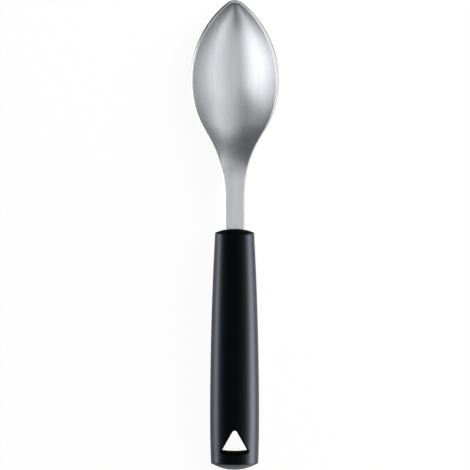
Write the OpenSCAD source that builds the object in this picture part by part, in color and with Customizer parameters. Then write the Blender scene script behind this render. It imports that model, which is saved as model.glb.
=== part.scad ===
// Quenelle spoon: a pointed steel bowl on a flat neck, with its tang held in a hollow moulded handle.
// It lies bowl up on a table, on the bottom of the bowl and the rear edge of the handle.
// +Y runs from the handle to the tip of the bowl, and +Z is up.

/* [Bowl] */
// Width of the bowl over its rim
bowl_width = 47.8; // [43:0.1:52]
// Depth of the bowl's floor below its rim
bowl_depth = 11.5; // [9:0.5:15]
// Distance from the tip to the widest and deepest place
widest_at = 43; // [38:0.5:48]
// Radius of the rounded tip, seen from above
tip_radius = 6.8; // [5:0.1:9]
// Distance from the tip to where the floor has risen to the neck
floor_end = 98; // [90:1:104]
// Thickness of the sheet at the bottom of the bowl
bowl_sheet = 1.5; // [1:0.1:2]
// Width of the ground rim
rim_land = 1.4; // [1:0.1:2]
// Fall of the ground rim from its inner edge to the rounding of its outer edge
rim_fall = 0.25; // [0.1:0.05:0.4]
// Rounding of the rim's outer edge
rim_round = 0.65; // [0.3:0.05:0.8]
// Roundness of the cross-section, where 1 is a parabola and 0.5 an ellipse
section_power = 1; // [0.7:0.02:1.2]
// How the floor falls away behind the tip, where 1 follows the outline
tip_fall = 0.85; // [0.75:0.05:1.3]

/* [Neck] */
// Distance from the tip to the front of the handle, along the blade
blade_reach = 124; // [118:1:136]
// Distance from the tip to the end of the flare
neck_start = 109; // [104:1:114]
// Width of the neck
neck_width = 10.5; // [9:0.1:12]
// Thickness of the neck and the tang
neck_thickness = 2.5; // [2:0.1:3]
// Length that the outline runs on at the bowl's shoulder
shoulder_pull = 31; // [24:1:36]
// Length that the flare runs into the neck
flare_pull = 36.5; // [30:0.5:42]
// Height that the neck rises above the bowl's rim
neck_rise = 8; // [4:0.5:12]
// Distance from the tip to where the rim starts to rise to the neck
crank_start = 67; // [60:1:74]
// Distance from the tip to where the rise ends in the straight neck
crank_end = 100; // [95:1:105]

/* [Tang] */
// Width of the tang
tang_width = 7; // [5:0.1:8]
// Length of the neck inside the collar, as far as its shoulders
neck_seat = 6; // [4:0.5:9]
// Length of the tang inside the end plug
tang_grip = 10; // [8:0.5:14]
// Number of barbs on each edge of the tang's tail
barb_count = 3; // [1:1:4]
// Distance from barb to barb
barb_pitch = 2.6; // [2:0.1:3]
// Depth of a barb
barb_depth = 0.6; // [0.3:0.1:1]

/* [Handle] */
// Length of the handle over its two domes
handle_length = 131.3; // [120:0.1:142]
// Width at the front edge
front_width = 21.2; // [19:0.1:23]
// Width at the belly
belly_width = 26.6; // [24:0.1:30]
// Thickness at the belly
handle_depth = 18; // [16:0.5:22]
// Distance from the rear end to the belly
belly_from_end = 28; // [20:1:40]
// Narrowing of each side from the belly to the rear edge
rear_taper = 0.45; // [0.2:0.05:0.8]
// Height of the front dome
front_dome = 2.3; // [1.5:0.1:3.5]
// Height of the rear dome
rear_dome = 3.7; // [2.5:0.1:4.5]
// Wall of the hollow grip, measured across its width
grip_wall = 3; // [2.4:0.1:3.6]

/* [Plugs] */
// Length of the collar's spigot inside the grip
spigot_length = 14; // [11:0.5:20]
// Height of the snap beads on the collar and the plug
bead_height = 0.4; // [0.2:0.05:0.6]
// Half the length of a snap bead
bead_half = 1.2; // [0.8:0.1:1.6]
// Distance from the inner end of a spigot to its bead
bead_inset = 4; // [3:0.5:6]
// Material between the tang's socket and the hanging hole
plug_web = 6; // [4:0.5:9]
// Clearance round a spigot
spigot_gap = 0.1; // [0.05:0.05:0.2]
// Clearance round the neck and the tang in their slots
slot_gap = 0.15; // [0.1:0.05:0.25]

/* [Hanging hole] */
// Width of the hole at its base
hole_width = 14.2; // [12:0.1:17]
// Height of the hole from its base to its apex
hole_height = 12.5; // [10:0.1:16]
// Distance from the rear end of the handle to the middle of the hole's base
hole_from_end = 9.5; // [7.5:0.1:12]
// Radius of the hole's apex
hole_apex = 1.4; // [0.8:0.1:2.2]
// Radius of the hole's two base corners
hole_corner = 0.6; // [0.4:0.1:1.6]
// Radius of the hole's bowed base
hole_bow = 36; // [20:1:60]

/* [Hidden] */

// Smoothness of turned pieces, of the barrel's curve before and behind its belly, and of the hole's corners
turn_fn = 96;
barrel_steps = [10, 3];
corner_steps = 6;
// Steps of the bowl's loft round the tip, along the flank, down the flare and across
tip_steps = 7;
flank_steps = 20;
flare_steps = 26;
neck_steps = 4;
across_steps = 24;
// Powers of the section formula: the bowl's, the neck's nearly flat floor and its square lower corners
bowl_spread = 2;
neck_floor_power = 0.7;
neck_spread = 10;
neck_power = 0.3;
// Points that round each edge of the rim
edge_points = 2;
// Length over which the neck steps down to the tang and a barb steps up
step_run = 0.3;
// Overlap of cutters past the faces that they cut
over = 1;

flatness = handle_depth / belly_width;
rim_z = bowl_depth + bowl_sheet;
rim_drop = rim_fall + rim_round;
neck_z = rim_z + neck_rise;
bowl_half = bowl_width / 2;
neck_half = neck_width / 2;
tang_half = tang_width / 2;

// The flank is an arc that leaves the tip's arc smoothly and is parallel to the axis where it is widest
flank_run = widest_at - tip_radius;
flank_radius = (flank_run ^ 2 + bowl_half ^ 2 - tip_radius ^ 2) / (2 * (bowl_half - tip_radius));
flank_angle = acos(flank_run / (flank_radius - tip_radius));

// Places along the handle, measured from the top of its front dome
front_r = front_width / 2;
belly_r = belly_width / 2;
front_u = front_dome;
rear_u = handle_length - rear_dome;
belly_u = handle_length - belly_from_end;
rear_r = belly_r - rear_taper;
front_radius = arc_radius(belly_u - front_u, belly_r - front_r);
rear_radius = arc_radius(rear_u - belly_u, rear_taper);
hole_base_u = handle_length - hole_from_end;
hole_apex_u = hole_base_u - hole_height;
plug_u = hole_apex_u - plug_web - tang_grip;
spigot_u = front_u + spigot_length;
collar_bead_u = spigot_u - bead_inset;
plug_bead_u = plug_u + bead_inset;

// Places along the tang, measured from the tip of the bowl
shoulder_s = blade_reach + neck_seat;
tail_s = blade_reach + plug_u + tang_grip;
barbs_s = tail_s - barb_count * barb_pitch;

// The neck and the handle share a straight line, which falls until the handle's rear edge meets the table
line_z = neck_z - neck_thickness / 2;
line_length = blade_reach + handle_length - crank_end;
rear_along = line_length - rear_dome;
rear_below = flatness * rear_r;
line_fall = asin(line_z / norm([rear_along, rear_below])) - atan2(rear_below, rear_along);
tip_y = (crank_end + line_length * cos(line_fall)) / 2;
line_y = tip_y - crank_end;

// Slots in the collar and the plug
neck_slot = neck_width + 2 * slot_gap;
tang_slot = tang_width + 2 * slot_gap;
slot_height = neck_thickness + 2 * slot_gap;

function mix(a, b, t) = a + (b - a) * t;
function ease(t) = let (c = min(max(t, 0), 1)) c * c * (3 - 2 * c);
function arc_radius(run, drop) = (run ^ 2 + drop ^ 2) / (2 * drop);
function arc_r(u, radius) = belly_r - radius + sqrt(radius ^ 2 - (u - belly_u) ^ 2);
function barrel_r(u) = arc_r(u, u < belly_u ? front_radius : rear_radius);
function bore_r(u) = mix(front_r, rear_r, (u - front_u) / (rear_u - front_u)) - grip_wall;
function dome_radius(r, height) = (r ^ 2 + height ^ 2) / (2 * height);

// A point on an arc of the outline, with the direction that leads inwards from it
function arc_station(centre, radius, angle) =
    [centre[0] - radius * cos(angle), centre[1] + radius * sin(angle), cos(angle), -sin(angle)];
function tip_station(angle) = arc_station([tip_radius, 0], tip_radius, angle);
function flank_station(angle) = arc_station([widest_at, bowl_half - flank_radius], flank_radius, angle);

// A point on the flare, which is a cubic curve from the widest place to the neck
function flare_at(t, a, b, c, d) =
    a * (1 - t) ^ 3 + 3 * b * t * (1 - t) ^ 2 + 3 * c * t ^ 2 * (1 - t) + d * t ^ 3;
function flare_slope(t, a, b, c, d) =
    3 * ((b - a) * (1 - t) ^ 2 + 2 * (c - b) * t * (1 - t) + (d - c) * t ^ 2);
function flare_station(t) =
    let (
        shoulder = widest_at + shoulder_pull,
        flare = neck_start - flare_pull,
        ds = flare_slope(t, widest_at, shoulder, flare, neck_start),
        dw = flare_slope(t, bowl_half, bowl_half, neck_half, neck_half),
        run = norm([ds, dw])
    )
    [
        flare_at(t, widest_at, shoulder, flare, neck_start),
        flare_at(t, bowl_half, bowl_half, neck_half, neck_half),
        dw / run,
        -ds / run
    ];

// A point on a straight edge of the neck or the tang
function edge_station(s, half) = [s, half, 0, -1];

// The outline of one side of the blade, from the tip to the tail
stations = concat(
    [for (i = [0 : tip_steps - 1]) tip_station(flank_angle * i / tip_steps)],
    [for (i = [0 : flank_steps]) flank_station(mix(flank_angle, 90, i / flank_steps))],
    [for (i = [1 : flare_steps]) flare_station(i / flare_steps)],
    [for (i = [1 : neck_steps]) edge_station(mix(neck_start, blade_reach, i / neck_steps), neck_half)],
    [edge_station(shoulder_s - step_run, neck_half), edge_station(shoulder_s, tang_half)],
    [edge_station(barbs_s - step_run, tang_half)],
    [for (i = [0 : barb_count - 1]) each [
        edge_station(barbs_s + i * barb_pitch, tang_half - barb_depth),
        edge_station(barbs_s + i * barb_pitch + step_run, tang_half)
    ]],
    [edge_station(tail_s, tang_half - barb_depth)]
);

// Height of the rim along the blade: level round the bowl, then up to the neck and into its fall
crank_run = crank_end - crank_start;
function rim_at(s) =
    let (t = min(max((s - crank_start) / crank_run, 0), 1))
    mix(rim_z, neck_z, ease(t)) + crank_run * tan(line_fall) * t ^ 2 * (1 - t);

// Share of the bowl's depth and thickness of the sheet along the blade
function rise(s) = ease((s - widest_at) / (floor_end - widest_at));
function squareness(s) = ease((s - widest_at) / (neck_start - widest_at));
function is_front(station) = station[0] < widest_at;
function tip_share(half, full) = max(half / full, 0) ^ tip_fall;
function floor_depth(station, s, half) =
    bowl_depth * (is_front(station) ? tip_share(half, bowl_half - rim_land) : 1 - rise(s));
function under_depth(station) = is_front(station)
    ? (bowl_depth + bowl_sheet - rim_drop) * tip_share(station[1], bowl_half)
    : bowl_depth * (1 - rise(station[0])) + mix(bowl_sheet, neck_thickness, rise(station[0])) - rim_drop;

// The cross-section's formula: 1 on the centre line and 0 at the edges
function section(across, spread, power) = max(1 - abs(across) ^ spread, 0) ^ power;
function across_at(i) = sin(mix(-90, 90, i / across_steps));

// A point of the blade from its place across, its distance behind the tip and its height before the fall
function on_line(x, along, up) = [
    x,
    line_y - along * cos(line_fall) - up * sin(line_fall),
    line_z - along * sin(line_fall) + up * cos(line_fall)
];
function place(x, s, z) = s < crank_end ? [x, tip_y - s, z] : on_line(x, s - crank_end, z - line_z);
function inset_s(station, inset) = station[0] + inset * station[2];
function inset_half(station, inset) = max(station[1] + inset * station[3], 0);
function rim_point(station, side, inset, drop) =
    let (s = inset_s(station, inset))
    place(side * inset_half(station, inset), s, rim_at(s) - drop);

// One ring of the loft: the floor from left to right, the right edge, the underside and the left edge
edge_cut = rim_round * (1 - sqrt(1 / 2));
function floor_points(station) =
    let (
        s = inset_s(station, rim_land),
        half = inset_half(station, rim_land),
        depth = floor_depth(station, s, half),
        power = mix(section_power, neck_floor_power, squareness(s))
    )
    [for (i = [0 : across_steps]) let (a = across_at(i))
        place(half * a, s, rim_at(s) - depth * section(a, bowl_spread, power))];
function under_points(station) =
    let (
        s = station[0],
        depth = under_depth(station),
        spread = mix(bowl_spread, neck_spread, squareness(s)),
        power = mix(section_power, neck_power, squareness(s))
    )
    [for (i = [across_steps : -1 : 0]) let (a = across_at(i))
        place(station[1] * a, s, rim_at(s) - rim_drop - depth * section(a, spread, power))];
function ring(station) = concat(
    floor_points(station),
    [rim_point(station, 1, rim_round, rim_fall), rim_point(station, 1, edge_cut, rim_fall + edge_cut)],
    under_points(station),
    [rim_point(station, -1, edge_cut, rim_fall + edge_cut), rim_point(station, -1, rim_round, rim_fall)]
);

// Skin between the rings, and a strip that closes the tail
ring_size = 2 * (across_steps + 1 + edge_points);
blade_points = [for (station = stations) each ring(station)];
last_ring = (len(stations) - 1) * ring_size;
function same(a, b) = norm(blade_points[a] - blade_points[b]) == 0;
function whole(face) = !same(face[0], face[1]) && !same(face[1], face[2]) && !same(face[0], face[2]);
skin_faces = [
    for (i = [0 : len(stations) - 2]) for (j = [0 : ring_size - 1])
        let (
            k = (j + 1) % ring_size,
            a = i * ring_size + j,
            b = i * ring_size + k,
            c = a + ring_size,
            d = b + ring_size
        )
        each [[a, b, c], [b, d, c]]
];
under_right = across_steps + edge_points + 1;
under_left = ring_size - edge_points - 1;
tail_corners = [for (face = [
    [across_steps, across_steps + 1, across_steps + 2],
    [across_steps, across_steps + 2, under_right],
    [0, under_left, under_left + 1],
    [0, under_left + 1, under_left + 2]
]) [for (corner = face) last_ring + corner]];
tail_faces = [
    for (j = [0 : across_steps - 1])
        let (
            a = last_ring + j,
            b = last_ring + j + 1,
            c = last_ring + under_left - j,
            d = last_ring + under_left - j - 1
        )
        each [[a, b, c], [b, d, c]]
];

// The blade is one stamping: bowl, neck and barbed tang
module spoon_blade() {
    color("silver")
    polyhedron(
        points = blade_points,
        faces = [for (face = concat(skin_faces, tail_faces, tail_corners)) if (whole(face)) face]
    );
}

// Lays on the neck's line what is modelled along the handle's axis from the top of its front dome
module on_handle() {
    translate([0, line_y, line_z])
    rotate([line_fall, 0, 0])
    translate([0, crank_end - blade_reach, 0])
    children();
}

// Turns a profile round the handle's axis, flattened to the handle's oval a quarter turn at a time
module oval_turn() {
    rotate([90, 0, 0])
    for (quarter = [0 : 3])
        scale([1, flatness, 1])
        rotate([0, 0, 90 * quarter])
        rotate_extrude(angle = 90, $fn = turn_fn)
        children();
}

// A box on the handle's axis, from one place along the handle to another
module axis_box(width, thickness, from_u, to_u) {
    translate([-width / 2, -to_u, -thickness / 2])
    cube([width, to_u - from_u, thickness]);
}

// Points along the barrel's curve, from the front edge to the belly and on to the rear edge
barrel_places = concat(
    [for (i = [0 : barrel_steps[0] - 1]) mix(front_u, belly_u, i / barrel_steps[0])],
    [for (i = [0 : barrel_steps[1]]) mix(belly_u, rear_u, i / barrel_steps[1])]
);
barrel = [for (u = barrel_places) [barrel_r(u), u]];

// Three points of a snap bead, raised from the bore's line, in order from the rear to the front
function bead(u, gap) = [
    [bore_r(u + bead_half) - gap, u + bead_half],
    [bore_r(u) - gap + bead_height, u],
    [bore_r(u - bead_half) - gap, u - bead_half]
];

// A spigot that fills the bore from one place to another
module spigot_profile(from_u, to_u, bead_u) {
    polygon(concat(
        [[0, to_u], [bore_r(to_u) - spigot_gap, to_u]],
        bead(bead_u, spigot_gap),
        [[bore_r(from_u) - spigot_gap, from_u], [0, from_u]]
    ));
}

// Half of a dome on the handle's axis, from its top inwards to its flat back
module dome_profile(top_u, r, height, inwards) {
    ball = dome_radius(r, height);
    back = min(top_u, top_u + inwards * height);
    intersection() {
        translate([0, top_u + inwards * ball])
        circle(r = ball, $fn = turn_fn * 2);
        translate([0, back])
        square([r, height]);
    }
}

// An arc of the hole's outline as points
function outline_arc(centre, radius, from, to) = [
    for (i = [0 : corner_steps])
        let (angle = mix(from, to, i / corner_steps))
        centre + radius * [cos(angle), sin(angle)]
];

// The hole's outline: a triangle with rounded corners and a bowed base, with its apex towards the bowl
module hole_outline() {
    base_x = hole_width / 2 - hole_corner;
    bow_y = sqrt((hole_bow - hole_corner) ^ 2 - base_x ^ 2);
    base_lift = hole_bow - bow_y;
    apex_y = hole_height - hole_apex;
    lean = atan2(apex_y - base_lift, base_x);
    side = acos((hole_apex - hole_corner) / norm([base_x, apex_y - base_lift])) - lean;
    bow_centre = [0, base_lift + bow_y];
    bow_angle = atan2(bow_y, base_x);
    polygon(concat(
        outline_arc([0, apex_y], hole_apex, side, 180 - side),
        outline_arc([-base_x, base_lift], hole_corner, 180 - side, 180 + bow_angle),
        outline_arc(bow_centre, hole_bow, 180 + bow_angle, 360 - bow_angle),
        outline_arc([base_x, base_lift], hole_corner, -bow_angle, side)
    ));
}

// The cutter of the hanging hole, through the whole thickness of the handle
module hole_cutter() {
    translate([0, -hole_base_u, -handle_depth / 2 - over])
    linear_extrude(height = handle_depth + 2 * over)
    hole_outline();
}

// The collar closes the front of the grip and holds the neck in a stepped slot
module front_collar() {
    color("black")
    on_handle()
    difference() {
        oval_turn()
        union() {
            dome_profile(0, front_r, front_dome, 1);
            spigot_profile(front_u, spigot_u, collar_bead_u);
        }
        axis_box(neck_slot, slot_height, -over, neck_seat);
        axis_box(tang_slot, slot_height, neck_seat - over, spigot_u + over);
    }
}

// The grip is a hollow oval barrel with grooves for the snap beads
module handle_grip() {
    color([0.12, 0.12, 0.13])
    on_handle()
    difference() {
        oval_turn()
        polygon(concat(
            barrel,
            [[bore_r(rear_u), rear_u]],
            bead(plug_bead_u, 0),
            bead(collar_bead_u, 0),
            [[bore_r(front_u), front_u]]
        ));
        hole_cutter();
    }
}

// The plug closes the rear of the grip, lines the hanging hole and takes the barbed end of the tang
module end_plug() {
    color([0.2, 0.2, 0.21])
    on_handle()
    difference() {
        oval_turn()
        union() {
            dome_profile(handle_length, rear_r, rear_dome, -1);
            spigot_profile(plug_u, rear_u, plug_bead_u);
        }
        axis_box(tang_slot, slot_height, plug_u - over, plug_u + tang_grip + slot_gap);
        hole_cutter();
    }
}

spoon_blade();
front_collar();
handle_grip();
end_plug();
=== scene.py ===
"""Looks of the quenelle spoon: a brushed steel blade in a black moulded handle, on a white table.

Shapes are worked out in millimetres in the part's own frame, and become metres when a piece is made.
The table, the lamps, the camera and the grain of the materials are in metres from the start.
Places along the blade, s, are measured behind its tip.
Places along the handle, u, are measured behind the top of its front dome.
"""
import math

import bmesh
import bpy
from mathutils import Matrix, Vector


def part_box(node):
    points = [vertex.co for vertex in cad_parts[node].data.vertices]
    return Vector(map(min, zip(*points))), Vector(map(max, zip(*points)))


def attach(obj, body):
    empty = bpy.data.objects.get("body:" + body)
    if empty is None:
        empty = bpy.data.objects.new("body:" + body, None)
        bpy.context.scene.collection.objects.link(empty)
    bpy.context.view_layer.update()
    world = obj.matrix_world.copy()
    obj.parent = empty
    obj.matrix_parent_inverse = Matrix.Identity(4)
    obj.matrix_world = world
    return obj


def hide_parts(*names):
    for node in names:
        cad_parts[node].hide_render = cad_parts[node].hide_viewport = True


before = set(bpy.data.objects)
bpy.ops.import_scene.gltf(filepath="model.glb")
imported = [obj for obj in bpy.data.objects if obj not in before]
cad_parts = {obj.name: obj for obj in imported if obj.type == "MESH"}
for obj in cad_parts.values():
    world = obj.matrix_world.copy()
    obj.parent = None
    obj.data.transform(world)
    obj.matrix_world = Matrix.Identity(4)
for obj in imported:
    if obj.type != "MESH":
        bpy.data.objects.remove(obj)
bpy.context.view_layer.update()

MM = 0.001
BODY = "root"


def node_box(node):
    """Lowest and highest corner of a CAD node, in millimetres."""
    low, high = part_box(node)
    return low / MM, high / MM


# Sizes that the frame gives
tip_y = node_box("spoon_blade")[1].y
bowl_half = node_box("spoon_blade")[1].x
front_r = node_box("front_collar")[1].x
belly_r = node_box("handle_grip")[1].x

# Bowl
bowl_depth = 11.5
bowl_sheet = 1.5
rim_z = bowl_depth + bowl_sheet
widest_at = 43
tip_radius = 6.8
tip_fall = 0.85
floor_end = 98
section_power = 1
bowl_spread = 2

# Rim: a land that slopes outwards, with a lip on its inner side and a bevel on its outer side
rim_land = 1.4
rim_fall = 0.25
rim_round = 0.65
rim_drop = rim_fall + rim_round
rim_lip = 0.4
lip_fall = 0.18
bevel_width = 0.4
bevel_fall = 0.3
bevel_corner = 0.12

# Rim at the very tip, where the land is flatter and the bevel is broader
nose_end = 7
nose_fall = 0.08
nose_lip = 0.2
nose_bevel_width = 0.65
nose_bevel_fall = 0.52

# Flare and neck
blade_reach = 124
shoulder_pull = 31
flare_pull = 36.5
crank_start = 67
crank_end = 100
land_end = 78
neck_start = 109
neck_half = 5.25
neck_thickness = 2.5
neck_rise = 8
neck_z = rim_z + neck_rise
neck_land = 0.75
neck_floor_power = 0.7
neck_spread = 10
neck_power = 0.3

# Tang
tang_half = 3.5
neck_seat = 6
tang_grip = 10
barb_count = 3
barb_pitch = 2.6
barb_depth = 0.6
step_run = 0.3

# Handle
handle_length = 131.3
handle_depth = 18
flatness = handle_depth / 2 / belly_r
front_dome = 2.3
rear_dome = 3.7
belly_from_end = 28
rear_taper = 0.45
front_u = front_dome
rear_u = handle_length - rear_dome
belly_u = handle_length - belly_from_end
grip_wall = 3
front_edge = 0.3
rear_edge = 0.2
plug_edge = 0.65

# Share of a dome's edge that its back keeps, so that a fine line shows where it meets the grip
dome_seat = 0.9

# Spigots, their snap beads, and the slots for the neck and the tang
spigot_length = 14
spigot_u = front_u + spigot_length
spigot_gap = 0.1
bead_height = 0.4
bead_half = 1.2
bead_inset = 4
slot_gap = 0.15
slot_lip = 0.15
slot_power = 14
slot_half_height = neck_thickness / 2 + slot_gap

# Hanging hole, and the window in the skins that is patched up to it
hole_width = 14.2
hole_height = 12.5
hole_from_end = 9.5
hole_base_u = handle_length - hole_from_end
hole_apex = 1.4
hole_corner = 0.6
hole_bow = 36
hole_lip = 0.85
window_ahead = 4.5
window_behind = 3.2
window_start = hole_base_u - hole_height - window_ahead
window_end = hole_base_u + window_behind

# Plug, and the places of the beads and the tail
plug_web = 6
plug_u = hole_base_u - hole_height - plug_web - tang_grip
tail_s = blade_reach + plug_u + tang_grip
collar_bead_u = spigot_u - bead_inset
plug_bead_u = plug_u + bead_inset

# Fineness of the blade's mesh
TIP_STEPS = 28
FLANK_STEPS = 72
FLARE_STEPS = 100
NECK_STEPS = 16
ACROSS_STEPS = 96
LIP_SHARES = (0.2, 0.4, 0.6, 0.8)
LAND_SHARES = (0, 0.4, 0.8, 1)
BEVEL_SHARES = (0.15, 0.5)
CORNER_SHARES = (0, 0.5, 1)

# Fineness of the handle's meshes
AROUND = 192
BARREL_STEP = 1.2
WINDOW_STEP = 0.6
WINDOW_COLUMNS = 26
PATCH_RINGS = 10
HOLE_TURN = math.radians(2)
LIP_STEPS = 8
ROUND_STEPS = 5
DOME_RINGS = 28

# Shares of one side of the hole's outline to which the window's corners are patched
HOLE_MARKS = (0, 0.26, 0.62, 1)

# Millimetres within which points become one, and degrees of turn above which an edge is sharp
WELD = 1e-4
SHARP_TURN = 35

# The second of a piece's materials, which the lip and the wall of the hole take: the plastic with its
# shine taken away, painted shade that keeps the hole black
HOLE_PAINTED_SHADE = (1,)


def mix(a, b, t):
    return a + (b - a) * t


def ease(t):
    c = min(max(t, 0), 1)
    return c * c * (3 - 2 * c)


def arc_radius(run, drop):
    return (run ** 2 + drop ** 2) / (2 * drop)


def spread(start, end, step):
    """Places from start to end, about a step apart."""
    count = max(1, math.ceil(abs(end - start) / step))
    return [mix(start, end, i / count) for i in range(count + 1)]


rear_r = belly_r - rear_taper
front_radius = arc_radius(belly_u - front_u, belly_r - front_r)
rear_radius = arc_radius(rear_u - belly_u, rear_taper)


def barrel_r(u):
    """Half-width of the grip."""
    radius = front_radius if u < belly_u else rear_radius
    return belly_r - radius + math.sqrt(radius ** 2 - (u - belly_u) ** 2)


# The neck and the handle share one line, which falls until the handle's rear edge meets the table
line_y = tip_y - crank_end
line_z = neck_z - neck_thickness / 2
rear_along = blade_reach + rear_u - crank_end
rear_below = flatness * rear_r
line_fall = math.asin(line_z / math.hypot(rear_along, rear_below)) - math.atan2(rear_below, rear_along)


def on_line(x, along, up):
    """A point from its place across, along and above the line of the neck and the handle."""
    sine, cosine = math.sin(line_fall), math.cos(line_fall)
    return x, line_y - along * cosine - up * sine, line_z - along * sine + up * cosine


def on_handle(x, u, up):
    return on_line(x, blade_reach - crank_end + u, up)


def on_blade(x, s, z):
    """A point of the blade from its place across and along it, and its height before the fall."""
    if s < crank_end:
        return x, tip_y - s, z
    return on_line(x, s - crank_end, z - line_z)


class Skin:
    """Points and faces of one piece, in millimetres, with each face's grain and material number."""

    def __init__(self):
        self.points = []
        self.faces = []
        self.grain = []
        self.material_number = []

    def loop(self, points):
        """Adds points and returns their numbers."""
        first = len(self.points)
        self.points.extend(points)
        return list(range(first, len(self.points)))

    def face(self, corners, grain=None, material_number=0):
        self.faces.append(corners)
        self.material_number.append(material_number)
        self.grain.append(grain or [(0, 0)] * len(corners))

    def bridge(self, a, b, row=0, column_materials=(0,)):
        """Joins two closed loops of as many points, with the number of each column's material."""
        count = len(a)
        for j in range(count):
            k = (j + 1) % count
            grain = [(j, row), (j + 1, row), (j + 1, row + 1), (j, row + 1)]
            self.face([a[j], a[k], b[k], b[j]], grain, column_materials[j % len(column_materials)])

    def bridge_all(self, loops, column_materials=(0,)):
        for row, (a, b) in enumerate(zip(loops, loops[1:])):
            self.bridge(a, b, row, column_materials)

    def piece(self, name, materials, slot, node):
        """Makes the piece, which rides on the body and stands for a CAD node."""
        mesh = bpy.data.meshes.new(name)
        shape = bmesh.new()
        grain_layer = shape.loops.layers.uv.new("grain")
        corners = [shape.verts.new(Vector(p) * MM) for p in self.points]
        for numbers, grain, material_number in zip(self.faces, self.grain, self.material_number):
            face = shape.faces.new([corners[n] for n in numbers])
            face.smooth = True
            face.material_index = material_number
            for corner, spot in zip(face.loops, grain):
                corner[grain_layer].uv = spot
        bmesh.ops.remove_doubles(shape, verts=shape.verts, dist=MM * WELD)
        bmesh.ops.dissolve_degenerate(shape, edges=shape.edges, dist=MM * WELD)
        bmesh.ops.delete(shape, geom=[v for v in shape.verts if not v.link_faces], context="VERTS")
        bmesh.ops.recalc_face_normals(shape, faces=shape.faces)
        shape.to_mesh(mesh)
        shape.free()
        mesh.set_sharp_from_angle(angle=math.radians(SHARP_TURN))
        for material in materials:
            mesh.materials.append(material)
        piece = bpy.data.objects.new(name, mesh)
        bpy.context.scene.collection.objects.link(piece)
        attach(piece, BODY)
        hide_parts(node)
        return piece


# Blade
# A station is a point of the outline, as its s and its half-width, with the direction inwards from it

def arc_station(centre, radius, angle):
    sine, cosine = math.sin(angle), math.cos(angle)
    return centre[0] - radius * cosine, centre[1] + radius * sine, cosine, -sine


def cubic(t, a, b, c, d):
    return a * (1 - t) ** 3 + 3 * b * t * (1 - t) ** 2 + 3 * c * t ** 2 * (1 - t) + d * t ** 3


def cubic_slope(t, a, b, c, d):
    return 3 * ((b - a) * (1 - t) ** 2 + 2 * (c - b) * t * (1 - t) + (d - c) * t ** 2)


def flare_station(t):
    along = (widest_at, widest_at + shoulder_pull, neck_start - flare_pull, neck_start)
    across = (bowl_half, bowl_half, neck_half, neck_half)
    ds, dw = cubic_slope(t, *along), cubic_slope(t, *across)
    run = math.hypot(ds, dw)
    return cubic(t, *along), cubic(t, *across), dw / run, -ds / run


def tang_edges():
    """Places and half-widths along the tang: shoulder, straight part and the barbs at the tail."""
    shoulder = blade_reach + neck_seat
    barbs = tail_s - barb_count * barb_pitch
    edges = [(shoulder - step_run, neck_half), (shoulder, tang_half), (barbs - step_run, tang_half)]
    for i in range(barb_count):
        start = barbs + i * barb_pitch
        edges += [(start, tang_half - barb_depth), (start + step_run, tang_half)]
    return edges + [(tail_s, tang_half - barb_depth)]


def blade_stations():
    """The outline of one side of the blade, from the tip to the tail of the tang."""
    run = widest_at - tip_radius
    radius = (run ** 2 + bowl_half ** 2 - tip_radius ** 2) / (2 * (bowl_half - tip_radius))
    turn = math.acos(run / (radius - tip_radius))
    tip = [arc_station((tip_radius, 0), tip_radius, turn * i / TIP_STEPS) for i in range(TIP_STEPS)]
    flank_centre = (widest_at, bowl_half - radius)
    flank_turns = [mix(turn, math.pi / 2, i / FLANK_STEPS) for i in range(FLANK_STEPS + 1)]
    flank = [arc_station(flank_centre, radius, angle) for angle in flank_turns]
    flare = [flare_station(i / FLARE_STEPS) for i in range(1, FLARE_STEPS + 1)]
    neck = [(mix(neck_start, blade_reach, i / NECK_STEPS), neck_half) for i in range(1, NECK_STEPS + 1)]
    return tip + flank + flare + [(s, half, 0, -1) for s, half in neck + tang_edges()]


def rim_at(s):
    """Height of the rim: level round the bowl, then up to the neck and into its fall."""
    run = crank_end - crank_start
    t = min(max((s - crank_start) / run, 0), 1)
    return mix(rim_z, neck_z, ease(t)) + run * math.tan(line_fall) * t ** 2 * (1 - t)


def rise(s):
    return ease((s - widest_at) / (floor_end - widest_at))


def squareness(s):
    return ease((s - widest_at) / (neck_start - widest_at))


def section(across, breadth, power):
    return max(1 - abs(across) ** breadth, 0) ** power


def land_at(s):
    return mix(rim_land, neck_land, ease((s - widest_at) / (land_end - widest_at)))


def rim_edge(station, side, lip_drop):
    """One edge of a ring, from the floor outwards: inner lip, land, bevel and rounded corner."""
    out_s, out_half, in_s, in_w = station
    land = land_at(out_s)
    share = land / rim_land
    nose = ease(1 - out_s / nose_end)
    lip = mix(rim_lip, nose_lip, nose) * share
    bevel = mix(bevel_width, nose_bevel_width, nose) * share
    fall = mix(rim_fall, nose_fall, nose) * share
    outer_fall = mix(bevel_fall, nose_bevel_fall, nose) * share

    def at(inset, drop):
        s = out_s + inset * in_s
        return on_blade(side * (out_half + inset * in_w), s, rim_at(s) - drop)

    inner = [at(land - lip * t, lip_drop * (1 - t) ** 2) for t in LIP_SHARES]
    top = [at(mix(land - lip, bevel, t), fall * t) for t in LAND_SHARES]
    outer = [at(bevel * (1 - t), fall + outer_fall * t) for t in BEVEL_SHARES]
    corner = []
    for t in CORNER_SHARES:
        curl = bevel_corner * (1 - t) ** 2
        corner.append(at(bevel * curl, fall + outer_fall * (1 - curl + bevel_corner * t ** 2)))
    return inner + top + outer + corner


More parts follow.
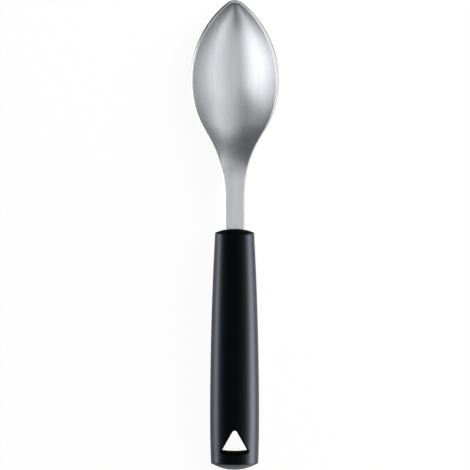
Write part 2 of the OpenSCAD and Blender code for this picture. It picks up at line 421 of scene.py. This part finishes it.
def blade_ring(station):
    """One closed ring of the blade: floor, right edge, underside and left edge."""
    out_s, out_half, in_s, in_w = station
    floor_s = out_s + land_at(out_s) * in_s
    floor_half = out_half + land_at(out_s) * in_w
    if out_s < widest_at:
        depth = bowl_depth * max(floor_half / (bowl_half - rim_land), 0) ** tip_fall
        under = (rim_z - rim_drop) * max(out_half / bowl_half, 0) ** tip_fall
    else:
        depth = bowl_depth * (1 - rise(floor_s))
        sheet = mix(bowl_sheet, neck_thickness, rise(out_s))
        under = bowl_depth * (1 - rise(out_s)) + sheet - rim_drop
    lip_drop = min(lip_fall, depth / 2)
    floor_top = rim_at(floor_s) - lip_drop
    under_top = rim_at(out_s) - rim_drop
    floor_power = mix(section_power, neck_floor_power, squareness(floor_s))
    under_spread = mix(bowl_spread, neck_spread, squareness(out_s))
    under_power = mix(section_power, neck_power, squareness(out_s))
    floor = []
    below = []
    for i in range(ACROSS_STEPS + 1):
        a = math.sin(mix(-math.pi / 2, math.pi / 2, i / ACROSS_STEPS))
        floor_z = floor_top - (depth - lip_drop) * section(a, bowl_spread, floor_power)
        under_z = under_top - under * section(a, under_spread, under_power)
        floor.append(on_blade(floor_half * a, floor_s, floor_z))
        below.append(on_blade(out_half * a, out_s, under_z))
    return floor + rim_edge(station, 1, lip_drop) + below[::-1] + rim_edge(station, -1, lip_drop)[::-1]


def make_blade(material, rim_material):
    skin = Skin()
    loops = [skin.loop(blade_ring(station)) for station in blade_stations()]
    edge_columns = len(loops[0]) // 2 - ACROSS_STEPS
    skin.bridge_all(loops, 2 * ([0] * ACROSS_STEPS + [1] * edge_columns))
    skin.face(loops[-1])
    return skin.piece("steel_blade", [material, rim_material], "satin_steel", "spoon_blade")


# Handle

def oval(r, angle, u):
    """A point on the handle's oval, from its half-width, its angle from the top and its place along."""
    return on_handle(r * math.sin(angle), u, flatness * r * math.cos(angle))


def oval_loop(r, u):
    return [oval(r, 2 * math.pi * i / AROUND, u) for i in range(AROUND)]


def bore_r(u):
    return mix(front_r, rear_r, (u - front_u) / (rear_u - front_u)) - grip_wall


def spigot_r(u):
    return bore_r(u) - spigot_gap


# Hanging hole
# A corner is a point of the outline, across and forwards from the base, with its outward direction

def hole_side():
    """Corners from the apex to the middle of the base, on one side."""
    base_x = hole_width / 2 - hole_corner
    bow_y = math.sqrt((hole_bow - hole_corner) ** 2 - base_x ** 2)
    lift = hole_bow - bow_y
    apex_y = hole_height - hole_apex
    lean = math.atan2(apex_y - lift, base_x)
    side = math.acos((hole_apex - hole_corner) / math.hypot(base_x, apex_y - lift)) - lean
    bow_turn = math.atan2(bow_y, base_x)
    arcs = [
        ((0, apex_y), hole_apex, math.pi / 2, side),
        ((base_x, lift), hole_corner, side, -bow_turn),
        ((0, lift + bow_y), hole_bow, -bow_turn, -math.pi / 2),
    ]
    corners = []
    for centre, radius, start, end in arcs:
        for angle in spread(start, end, HOLE_TURN):
            out = (math.cos(angle), math.sin(angle))
            corners.append((centre[0] + radius * out[0], centre[1] + radius * out[1], *out))
    return corners


def resample(line, marks, counts):
    """Points along a line, with so many steps from mark to mark, which are shares of its length."""
    lengths = [0]
    for a, b in zip(line, line[1:]):
        lengths.append(lengths[-1] + math.dist(a[:2], b[:2]))
    reaches = []
    for start, end, count in zip(marks, marks[1:], counts):
        reaches += [mix(start, end, i / count) * lengths[-1] for i in range(count)]
    points = []
    k = 0
    for reach in reaches + [lengths[-1]]:
        while k < len(line) - 2 and lengths[k + 1] < reach:
            k += 1
        step = lengths[k + 1] - lengths[k]
        t = (reach - lengths[k]) / step if step else 0
        points.append(tuple(mix(a, b, t) for a, b in zip(line[k], line[k + 1])))
    return points


window_rows = spread(window_start, window_end, WINDOW_STEP)
hole_half = resample(hole_side(), HOLE_MARKS, (WINDOW_COLUMNS, len(window_rows) - 1, WINDOW_COLUMNS))
hole_loop = hole_half[:-1] + [(-x, v, -nx, nv) for x, v, nx, nv in reversed(hole_half[1:])]


def hole_point(corner, offset, drop, radius_at, top):
    """A point over the hole's outline, moved outwards by an offset, a drop below the handle's skin."""
    x, v, out_x, out_v = corner
    u = hole_base_u - v - offset * out_v
    x = x + offset * out_x
    height = flatness * math.sqrt(radius_at(u) ** 2 - x ** 2) - drop
    return on_handle(x, u, height if top else -height)


def window_border(first, last):
    """Columns and rows round the window between two rows, from the middle of its front."""
    border = [(k, first) for k in range(WINDOW_COLUMNS)]
    border += [(WINDOW_COLUMNS, row) for row in range(first, last)]
    border += [(k, last) for k in range(WINDOW_COLUMNS, -WINDOW_COLUMNS, -1)]
    border += [(-WINDOW_COLUMNS, row) for row in range(last, first, -1)]
    return border + [(k, first) for k in range(-WINDOW_COLUMNS, 0)]


def pierced_skin(skin, radius_at, places, lip=0):
    """A skin along the handle that the hanging hole pierces at the top and the bottom.

    It returns its first and last loop, and the loops round the hole at the top and the bottom.
    """
    grid = [skin.loop(oval_loop(radius_at(u), u)) for u in places]
    first, last = places.index(window_start), places.index(window_end)
    border = window_border(first, last)
    half = AROUND // 2

    def in_window(column):
        offsets = ((column - centre + WINDOW_COLUMNS) % AROUND for centre in (0, half))
        return any(offset < 2 * WINDOW_COLUMNS for offset in offsets)

    def patch_point(spot, corner, share, top):
        """A point between the window's border and the lip of the hole."""
        k, row = spot
        x, v, out_x, out_v = corner
        hole_u = hole_base_u - v - lip * out_v
        hole_angle = math.asin((x + lip * out_x) / radius_at(hole_u))
        u = mix(places[row], hole_u, share)
        angle = mix(2 * math.pi * k / AROUND, hole_angle, share)
        return oval(radius_at(u), angle if top else math.pi - angle, u)

    for row in range(len(places) - 1):
        for column in range(AROUND):
            if first <= row < last and in_window(column):
                continue
            after = (column + 1) % AROUND
            ahead, behind = grid[row], grid[row + 1]
            skin.face([ahead[column], ahead[after], behind[after], behind[column]])
    mouths = []
    for centre, turn in ((0, 1), (half, -1)):
        top = turn > 0
        patch = [[grid[row][(centre + turn * k) % AROUND] for k, row in border]]
        for ring in range(1, PATCH_RINGS + 1):
            share = ring / PATCH_RINGS
            patch.append(skin.loop([patch_point(*pair, share, top) for pair in zip(border, hole_loop)]))
        rolled = patch[-1:]
        for i in range(1, LIP_STEPS + 1) if lip else ():
            t = i / LIP_STEPS
            offset, drop = lip * (1 - t) ** 2, lip * t ** 2
            rolled.append(skin.loop([hole_point(c, offset, drop, radius_at, top) for c in hole_loop]))
        skin.bridge_all(patch)
        # The hole's rolled lip takes the second material, painted shade
        skin.bridge_all(rolled, HOLE_PAINTED_SHADE)
        mouths.append(rolled[-1])
    return grid[0], grid[-1], mouths


# Grip, collar and plug

def bead_places(bead_u, start, end):
    """Places along a bore or spigot, with those of its snap bead."""
    return sorted({start, end, bead_u - bead_half, bead_u, bead_u + bead_half})


def with_bead(radius_at, bead_u):
    """The half-width of a bore or spigot with a snap bead raised on it."""
    return lambda u: radius_at(u) + bead_height * max(0, 1 - abs(u - bead_u) / bead_half)


def rolled_edge(skin, r, end_u, inwards, edge):
    """Loops of a rounded edge of the grip, from its outside to its end."""
    loops = []
    for i in range(1, ROUND_STEPS + 1):
        turn = math.pi / 2 * i / ROUND_STEPS
        u = end_u + inwards * edge * (1 - math.sin(turn))
        loops.append(skin.loop(oval_loop(r - edge * (1 - math.cos(turn)), u)))
    return loops


def make_grip(material, hole_painted_shade_material):
    skin = Skin()
    places = spread(front_u + front_edge, window_start, BARREL_STEP)[:-1] + window_rows
    places += spread(window_end, rear_u - rear_edge, WINDOW_STEP)[1:]
    front, rear, outer_mouths = pierced_skin(skin, barrel_r, places, hole_lip)
    front_lip = rolled_edge(skin, barrel_r(front_u), front_u, 1, front_edge)
    rear_lip = rolled_edge(skin, rear_r, rear_u, -1, rear_edge)
    groove_r = with_bead(with_bead(bore_r, collar_bead_u), plug_bead_u)
    bore_places = bead_places(collar_bead_u, front_u, plug_u)[:-1]
    bore_places += bead_places(plug_bead_u, plug_u, window_start)[:-1] + window_rows + [rear_u]
    bore_front, bore_rear, bore_mouths = pierced_skin(skin, groove_r, bore_places)
    skin.bridge_all([front] + front_lip + [bore_front])
    skin.bridge_all([rear] + rear_lip + [bore_rear])
    for outer, inner in zip(outer_mouths, bore_mouths):
        # The hole's wall through the grip takes the second material, painted shade
        skin.bridge(outer, inner, column_materials=HOLE_PAINTED_SHADE)
    return skin.piece("black_grip", [material, hole_painted_shade_material], "grip_black", "handle_grip")


def rounded_slot(half_width):
    """Half-widths and angles round a slot with rounded corners, at the angles of an oval loop."""
    points = []
    for i in range(AROUND):
        angle = 2 * math.pi * i / AROUND
        reach = (abs(math.sin(angle)) / half_width) ** slot_power
        reach += (abs(math.cos(angle)) * flatness / slot_half_height) ** slot_power
        points.append((reach ** (-1 / slot_power), angle))
    return points


def slot_loop(skin, slot, u):
    return skin.loop([oval(reach, angle, u) for reach, angle in slot])


def dome_drop(ball, radius):
    """How far a dome lies behind its top at a half-width, from the radius of its ball."""
    return ball - math.sqrt(ball ** 2 - radius ** 2)


def dome_loops(skin, inner, r, height, top_u, inwards, edge):
    """Loops of a dome from an inner loop of half-widths to its rounded edge and its back."""
    ball = arc_radius(r, height)
    rim = r - edge
    loops = []
    for ring in range(DOME_RINGS + 1):
        share = ring / DOME_RINGS
        points = []
        for i, start in enumerate(inner):
            radius = mix(start, rim, share)
            u = top_u + inwards * dome_drop(ball, radius)
            points.append(oval(radius, 2 * math.pi * i / AROUND, u))
        loops.append(skin.loop(points))
    rim_u = top_u + inwards * dome_drop(ball, rim)
    back_u = top_u + inwards * height
    for i in range(1, ROUND_STEPS + 1):
        t = i / ROUND_STEPS
        radius = rim + edge * (1 - (1 - t) ** 2) * dome_seat
        loops.append(skin.loop(oval_loop(radius, mix(rim_u, back_u, t ** 2))))
    return loops


def make_collar(material):
    skin = Skin()
    neck_slot = rounded_slot(neck_half + slot_gap)
    tang_slot = rounded_slot(tang_half + slot_gap)
    inner = [reach + slot_lip for reach, angle in neck_slot]
    dome = dome_loops(skin, inner, front_r, front_dome, 0, 1, front_edge)
    radius_at = with_bead(spigot_r, collar_bead_u)
    places = bead_places(collar_bead_u, front_u, spigot_u)
    spigot = [skin.loop(oval_loop(radius_at(u), u)) for u in places]
    stops = [(tang_slot, spigot_u), (tang_slot, neck_seat), (neck_slot, neck_seat)]
    inside = [slot_loop(skin, slot, u) for slot, u in stops]
    ball = arc_radius(front_r, front_dome)
    lip_points = [oval(reach, angle, dome_drop(ball, reach) + slot_lip) for reach, angle in neck_slot]
    lip = skin.loop(lip_points)
    skin.bridge_all([lip] + dome + spigot + inside + [lip])
    return skin.piece("front_dome", [material], "end_black", "front_collar")


def make_plug(material, hole_painted_shade_material):
    skin = Skin()
    dome = dome_loops(skin, [0] * AROUND, rear_r, rear_dome, handle_length, -1, plug_edge)
    radius_at = with_bead(spigot_r, plug_bead_u)
    places = bead_places(plug_bead_u, plug_u, window_start)[:-1] + window_rows + [rear_u]
    end, back, mouths = pierced_skin(skin, radius_at, places)
    skin.bridge_all(dome + [back])
    # The hole's wall through the plug takes the second material, painted shade
    skin.bridge(*mouths, column_materials=HOLE_PAINTED_SHADE)
    tang_slot = rounded_slot(tang_half + slot_gap)
    socket = [slot_loop(skin, tang_slot, u) for u in (plug_u, plug_u + tang_grip + slot_gap)]
    skin.bridge_all([end] + socket)
    skin.face(socket[-1])
    return skin.piece("rear_dome", [material, hole_painted_shade_material], "end_black", "end_plug")


# Materials
# A noise is the stretch of metres along each axis, its scale, its detail and its roughness

STEEL_FINE = ((6000, 60, 6000), 1, 3, 0.6)
STEEL_BROAD = ((420, 9, 420), 1, 2, 0.5)
STEEL_FINE_SHARE = 0.5
STEEL_STOPS = ((0.3, (0.55, 0.558, 0.583, 1)), (0.7, (0.65, 0.656, 0.679, 1)))
STEEL_BUMP = 0.05
STEEL_ANISOTROPY = 0.4

EVEN = (1, 1, 1)
PLASTIC_GRAIN_SIZE = 0.0003
PLASTIC_GRAIN = (EVEN, 1 / PLASTIC_GRAIN_SIZE, 3, 0.65)
PLASTIC_CLOUD = (EVEN, 90, 2, 0.5)
PLASTIC_STOPS = ((0, (0.0009, 0.003, 0.0003, 1)), (1, (0.0019, 0.0044, 0.0009, 1)))
PLASTIC_BUMP = 0.25
PLASTIC_SWING = 0.06
PLASTIC_TINT = (0.757, 0.83, 1, 1)

FLOOR_COLOUR = (0.9, 0.9, 0.9, 1)
FLOOR_ROUGHNESS = 0.9
FLOOR_SHINE = 0.1
GLOW_COLOUR = (1, 1, 1, 1)

# Shares of the table's white that are a glow, to the camera and in reflections
FLOOR_GLOW = 0.95
MIRRORED_GLOW = 0.1


class Nodes:
    """The nodes of one new material."""

    def __init__(self, name):
        self.material = bpy.data.materials.new(name)
        self.material.use_nodes = True
        self.tree = self.material.node_tree
        self.shader = self.tree.nodes["Principled BSDF"]

    def feed(self, socket, value):
        """Links a socket to an output, or sets it to a number or colour."""
        if isinstance(value, bpy.types.NodeSocket):
            self.tree.links.new(value, socket)
        else:
            socket.default_value = value

    def feed_all(self, node, inputs):
        for key, value in inputs.items():
            self.feed(node.inputs[key.replace("_", " ")], value)

    def add(self, kind, settings=(), **inputs):
        """Adds a node with its settings and inputs."""
        node = self.tree.nodes.new(kind)
        for key, value in dict(settings).items():
            setattr(node, key, value)
        self.feed_all(node, inputs)
        return node

    def shade(self, **inputs):
        self.feed_all(self.shader, inputs)

    def compute(self, operation, *values):
        """The result of a Math node on numbers or outputs."""
        node = self.add("ShaderNodeMath", {"operation": operation})
        for socket, value in zip(node.inputs, values):
            self.feed(socket, value)
        return node.outputs[0]

    def noise(self, stretch, scale, detail, roughness):
        spot = self.add("ShaderNodeTexCoord").outputs["Object"]
        spot = self.add("ShaderNodeMapping", Vector=spot, Scale=stretch).outputs["Vector"]
        node = self.add(
            "ShaderNodeTexNoise", Vector=spot, Scale=scale, Detail=detail, Roughness=roughness
        )
        return node.outputs["Fac"]

    def ramp(self, value, low, high):
        """A number from low to high as a value goes from 0 to 1."""
        return self.add("ShaderNodeMapRange", Value=value, To_Min=low, To_Max=high).outputs["Result"]

    def tone(self, value, stops):
        """A colour between two stops, each a value and its colour."""
        node = self.add("ShaderNodeValToRGB", Fac=value)
        for element, (position, colour) in zip(node.color_ramp.elements, stops):
            element.position = position
            element.color = colour
        return node.outputs["Color"]

    def bump(self, strength, distance, height):
        node = self.add("ShaderNodeBump", Strength=strength, Distance=distance, Height=height)
        return node.outputs["Normal"]


def steel_material(name, smoothest, roughest, grain_height):
    """Steel ground along its length: fine streaks along Y in colour, roughness and height."""
    nodes = Nodes(name)
    fine = nodes.noise(*STEEL_FINE)
    broad = nodes.compute("MULTIPLY", nodes.noise(*STEEL_BROAD), 1 - STEEL_FINE_SHARE)
    streak = nodes.compute("MULTIPLY_ADD", fine, STEEL_FINE_SHARE, broad)
    tangent = nodes.add("ShaderNodeTangent", {"direction_type": "UV_MAP", "uv_map": "grain"})
    nodes.shade(
        Base_Color=nodes.tone(streak, STEEL_STOPS),
        Metallic=1,
        Roughness=nodes.ramp(streak, smoothest, roughest),
        Anisotropic=STEEL_ANISOTROPY,
        Tangent=tangent.outputs["Tangent"],
        Normal=nodes.bump(STEEL_BUMP, grain_height, fine),
    )
    return nodes.material


def plastic_material(name, grain_height, roughness, shine):
    """Black moulded plastic with a fine matte grain."""
    nodes = Nodes(name)
    grain = nodes.noise(*PLASTIC_GRAIN)
    cloud = nodes.noise(*PLASTIC_CLOUD)
    nodes.shade(
        Base_Color=nodes.tone(cloud, PLASTIC_STOPS),
        Roughness=nodes.ramp(grain, roughness - PLASTIC_SWING, roughness + PLASTIC_SWING),
        Specular_IOR_Level=shine,
        Specular_Tint=PLASTIC_TINT,
        Normal=nodes.bump(PLASTIC_BUMP, grain_height, grain),
    )
    return nodes.material


def floor_material(name):
    """A white table that glows to the camera, a little in reflections, and still takes a soft shadow."""
    nodes = Nodes(name)
    path = nodes.add("ShaderNodeLightPath").outputs
    mirrored = nodes.compute("MAXIMUM", path["Is Glossy Ray"], path["Is Transmission Ray"])
    mirrored_share = nodes.compute("MULTIPLY", mirrored, MIRRORED_GLOW)
    share = nodes.compute("MULTIPLY_ADD", path["Is Camera Ray"], FLOOR_GLOW, mirrored_share)
    glow = nodes.add("ShaderNodeEmission", Color=GLOW_COLOUR, Strength=1)
    blend = nodes.add("ShaderNodeMixShader", Fac=share)
    nodes.feed(blend.inputs[1], nodes.shader.outputs["BSDF"])
    nodes.feed(blend.inputs[2], glow.outputs["Emission"])
    nodes.feed(nodes.tree.nodes["Material Output"].inputs["Surface"], blend.outputs["Shader"])
    nodes.shade(Base_Color=FLOOR_COLOUR, Roughness=FLOOR_ROUGHNESS, Specular_IOR_Level=FLOOR_SHINE)
    return nodes.material


# Table

FLOOR_SIZE = 40


def make_floor():
    half = FLOOR_SIZE / 2
    corners = [(-half, -half, 0), (half, -half, 0), (half, half, 0), (-half, half, 0)]
    mesh = bpy.data.meshes.new("table")
    mesh.from_pydata(corners, [], [(0, 1, 2, 3)])
    mesh.materials.append(floor_material("white_table"))
    floor = bpy.data.objects.new("table", mesh)
    bpy.context.scene.collection.objects.link(floor)
    return floor


# Light
# A lamp is its name, direction (degrees round from +X and down from the top), size and brightness

BOWL_CENTRE = (0, 0.07, 0.01)
BOWL_DISTANCE = 1.5
BOWL_LAMPS = (
    ("bowl_left", (187.5, 53.6), (1.32, 1.2), 2.12),
    ("bowl_low", (206, 76.7), (1.74, 0.69), 1.2),
    ("bowl_right", (17, 47.8), (3.5, 0.51), 1.84),
    ("bowl_right_low", (358, 68), (0.85, 0.36), 1.3),
    ("bowl_near", (310, 55.5), (1.05, 0.8), 0.95),
    ("bowl_left_near", (223, 71), (0.4, 0.6), 0.5),
    ("bowl_far", (82, 41), (0.63, 0.84), 0.8),
    ("bowl_left_far", (142, 60), (0.9, 0.8), 0.18),
    ("bowl_top", (349, 10), (1.65, 1.59), 0.8),
)
HANDLE_CENTRE = (0, -0.09, 0.01)
HANDLE_DISTANCE = 0.8
HANDLE_LAMPS = (
    ("handle_left", (181, 78.3), (0.5, 0.3), 4.1),
    ("handle_right", (348, 73.5), (0.6, 0.44), 5.4),
)
TABLE_CENTRE = (0, 0, 0)
TABLE_DISTANCE = 2.2
TABLE_LAMPS = (
    ("table_far_right", (35, 54), (2, 2), 8.2),
)
WORLD_COLOUR = (0.75, 0.9, 1.25, 1)
WORLD_STRENGTH = 0.02


def softbox(name, centre, direction, distance, size, brightness, pieces):
    """A soft rectangular lamp that faces a centre from a direction, and lights only the pieces.

    Brightness is what a white mirror of it would show, where 1 is white.
    """
    lamp = bpy.data.lights.new(name, "AREA")
    lamp.shape = "RECTANGLE"
    lamp.size, lamp.size_y = size
    lamp.energy = brightness * math.pi * lamp.size * lamp.size_y
    box = bpy.data.objects.new(name, lamp)
    azimuth, tilt = (math.radians(angle) for angle in direction)
    level = math.sin(tilt)
    away = Vector((level * math.cos(azimuth), level * math.sin(azimuth), math.cos(tilt)))
    box.location = Vector(centre) + distance * away
    box.rotation_euler = (Vector(centre) - box.location).to_track_quat("-Z", "Y").to_euler()
    box.visible_camera = False
    bpy.context.scene.collection.objects.link(box)
    lit = bpy.data.collections.new(name + "_lit")
    for piece in pieces:
        lit.objects.link(piece)
    box.light_linking.receiver_collection = lit


def make_light(blade, handle, floor):
    rigs = (
        (BOWL_LAMPS, BOWL_CENTRE, BOWL_DISTANCE, [blade]),
        (HANDLE_LAMPS, HANDLE_CENTRE, HANDLE_DISTANCE, handle),
        (TABLE_LAMPS, TABLE_CENTRE, TABLE_DISTANCE, [floor]),
    )
    for lamps, centre, distance, pieces in rigs:
        for name, direction, size, brightness in lamps:
            softbox(name, centre, direction, distance, size, brightness, pieces)
    world = bpy.data.worlds.new("studio")
    world.use_nodes = True
    background = world.node_tree.nodes["Background"]
    background.inputs["Color"].default_value = WORLD_COLOUR
    background.inputs["Strength"].default_value = WORLD_STRENGTH
    bpy.context.scene.world = world


# Camera
# It looks straight down, and sees this much to each side at the height of the bowl's rim

CAMERA_HEIGHT = 4
CAMERA_X = 0.0002
HALF_WIDTH_SEEN = 0.1275


def make_camera():
    data = bpy.data.cameras.new("camera")
    data.sensor_fit = "HORIZONTAL"
    data.angle = 2 * math.atan(HALF_WIDTH_SEEN / (CAMERA_HEIGHT - rim_z * MM))
    camera = bpy.data.objects.new("camera", data)
    camera.location = (CAMERA_X, 0, CAMERA_HEIGHT)
    bpy.context.scene.collection.objects.link(camera)
    bpy.context.scene.camera = camera


# The scene

blade = make_blade(
    steel_material("brushed_steel", smoothest=0.36, roughest=0.46, grain_height=0.00005),
    steel_material("ground_steel", smoothest=0.2, roughest=0.26, grain_height=0.00002),
)
# Painted shade: the hole's lip and wall get the plastic with almost no shine, so they render black
hole_painted_shade_material = plastic_material("painted_shade_hole", grain_height=0.00003, roughness=0.7, shine=0.03)
# Painted shade: the front dome gets the plug's plastic with almost no shine, so it renders black as if
# no lamp reached it
collar_painted_shade_material = plastic_material("painted_shade_collar", grain_height=0.00003, roughness=0.6, shine=0.03)
grip_material = plastic_material("grip_black", grain_height=0.00004, roughness=0.35, shine=0.9)
plug_material = plastic_material("plug_black", grain_height=0.00003, roughness=0.35, shine=0.9)
handle = [
    make_collar(collar_painted_shade_material),
    make_grip(grip_material, hole_painted_shade_material),
    make_plug(plug_material, hole_painted_shade_material),
]
make_light(blade, handle, make_floor())
make_camera()
bpy.context.scene.view_settings.view_transform = "Standard"
